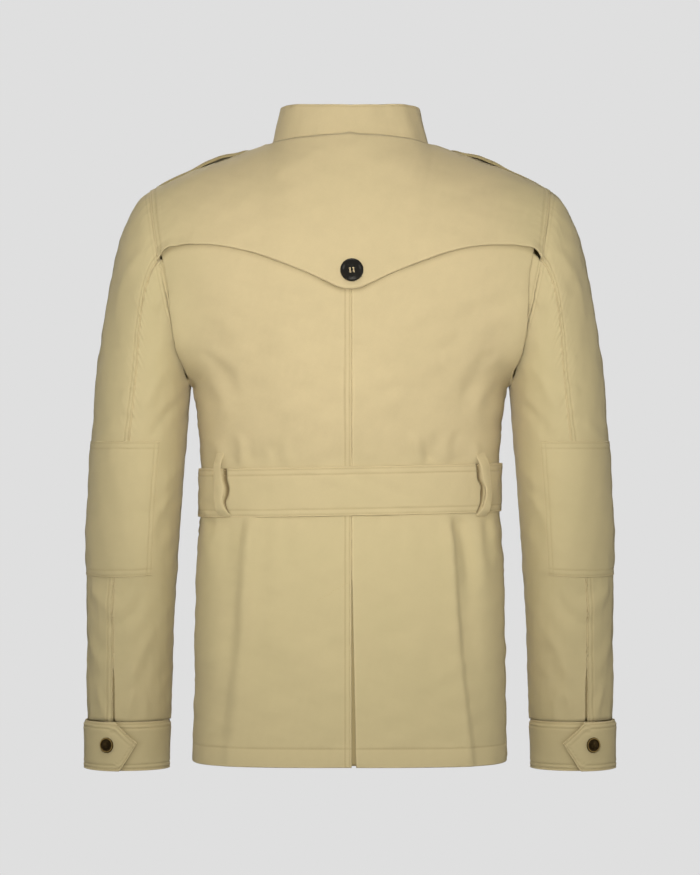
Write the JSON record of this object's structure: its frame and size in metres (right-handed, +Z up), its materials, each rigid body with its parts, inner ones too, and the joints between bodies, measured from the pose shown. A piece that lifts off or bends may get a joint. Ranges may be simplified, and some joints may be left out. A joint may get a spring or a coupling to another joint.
{
  "type": "field jacket",
  "caption": "Hollow belted field jacket in worn shape: stand collar, storm cape, pleated back, sleeves with elbow patches and tab cuffs, belt in loops, vented skirt.",
  "frame": {"origin": "middle of the neck opening, level with the back of the collar seam, where the wearer's shoulders and neck carry the jacket", "axes": "+Z up, +X the wearer's left, +Y out of the jacket's back"},
  "size_m": [0.6096, 0.2476, 0.7553],
  "materials": {
    "shell_cloth": "khaki tan cotton poplin, close weave, soft sheen",
    "shaded_cloth": "the same khaki cotton, on the under layers",
    "black_button": "polished near-black horn look",
    "aged_brass": "antique brass, worn bright on the rim"
  },
  "bodies": {
    "root": {"back_panel_left": "shell_cloth", "back_pleat_left": "shaded_cloth", "front_panel_left": "shell_cloth", "shoulder_strap_left": "shell_cloth", "sleeve_top_left": "shell_cloth", "sleeve_under_left": "shell_cloth", "elbow_patch_left": "shell_cloth", "sleeve_placket_left": "shaded_cloth", "cuff_left": "shell_cloth", "cuff_button_left": "aged_brass", "belt_loop_left": "shell_cloth", "back_panel_right": "shell_cloth", "back_pleat_right": "shaded_cloth", "front_panel_right": "shell_cloth", "shoulder_strap_right": "shell_cloth", "sleeve_top_right": "shell_cloth", "sleeve_under_right": "shell_cloth", "elbow_patch_right": "shell_cloth", "sleeve_placket_right": "shaded_cloth", "cuff_right": "shell_cloth", "cuff_button_right": "aged_brass", "belt_loop_right": "shell_cloth", "storm_cape": "shell_cloth", "vent_underlay": "shaded_cloth", "collar": "shell_cloth", "belt": "shell_cloth", "buckle": "aged_brass", "front_button_1": "black_button", "front_button_2": "black_button", "front_button_3": "black_button", "front_button_4": "black_button", "front_button_5": "black_button", "yoke_button": "black_button"}
  },
  "joints": []
}
